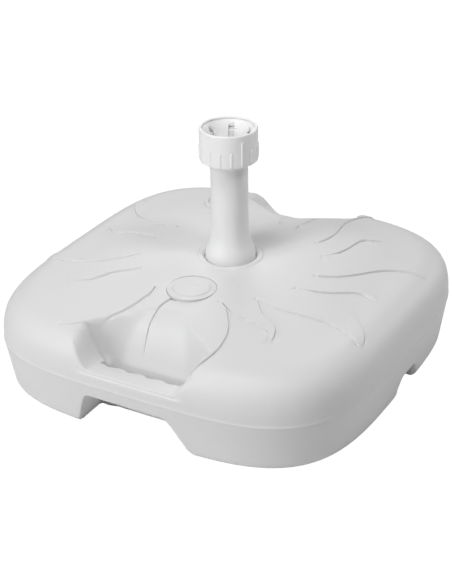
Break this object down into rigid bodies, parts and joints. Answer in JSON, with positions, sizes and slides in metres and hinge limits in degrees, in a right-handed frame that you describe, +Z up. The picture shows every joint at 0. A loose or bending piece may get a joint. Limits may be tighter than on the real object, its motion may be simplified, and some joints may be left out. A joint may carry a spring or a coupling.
{
  "type": "parasol base",
  "caption": "Square fillable parasol base with moulded grips, filler cap, plug-in tube and a collet clamp that a ribbed nut closes on the pole.",
  "frame": {"origin": "on the ground, on the axis of the stand tube", "axes": "+Z up along the tube; -Y towards the filler cap and the grip beside it; +X to the right of that grip"},
  "size_m": [0.5, 0.5, 0.318],
  "materials": {
    "tank_plastic": "blow-moulded white polyethylene, satin",
    "tube_plastic": "injection-moulded white polypropylene, satin",
    "collet_plastic": "injection-moulded white polypropylene, satin",
    "nut_plastic": "injection-moulded white polypropylene, satin",
    "cap_plastic": "injection-moulded white polypropylene, slightly glossier",
    "gasket_rubber": "soft black rubber"
  },
  "bodies": {
    "base": {"tank": "tank_plastic"},
    "stand": {"stand_tube": "tube_plastic"},
    "collet": {"clamp_collet": "collet_plastic"},
    "nut": {"clamp_nut": "nut_plastic"},
    "seal": {"cap_gasket": "gasket_rubber"},
    "cap": {"filler_cap": "cap_plastic"}
  },
  "joints": [
    {"name": "tube_lift", "type": "slide", "parent": "base", "child": "stand", "axis": [0, 0, 1], "range_m": [0, 0.14]},
    {"name": "collet_lift", "type": "slide", "parent": "stand", "child": "collet", "axis": [0, 0, 1], "range_m": [0, 0.012]},
    {"name": "nut_turn", "type": "hinge", "parent": "collet", "child": "nut", "pos_m": [0, 0, 0.297], "axis": [0, 0, 1], "range_deg": [0, 1080]},
    {"name": "seal_lift", "type": "slide", "parent": "base", "child": "seal", "axis": [0, 0, 1], "range_m": [0, 0.0125]},
    {"name": "cap_turn", "type": "hinge", "parent": "seal", "child": "cap", "pos_m": [0, -0.098, 0.138], "axis": [0, 0, 1], "range_deg": [0, 900]}
  ],
  "couplings": [
    {"joint": "collet_lift", "follows": "nut_turn", "m_per_rad": 0.00063662},
    {"joint": "seal_lift", "follows": "cap_turn", "m_per_rad": 0.00079577}
  ]
}
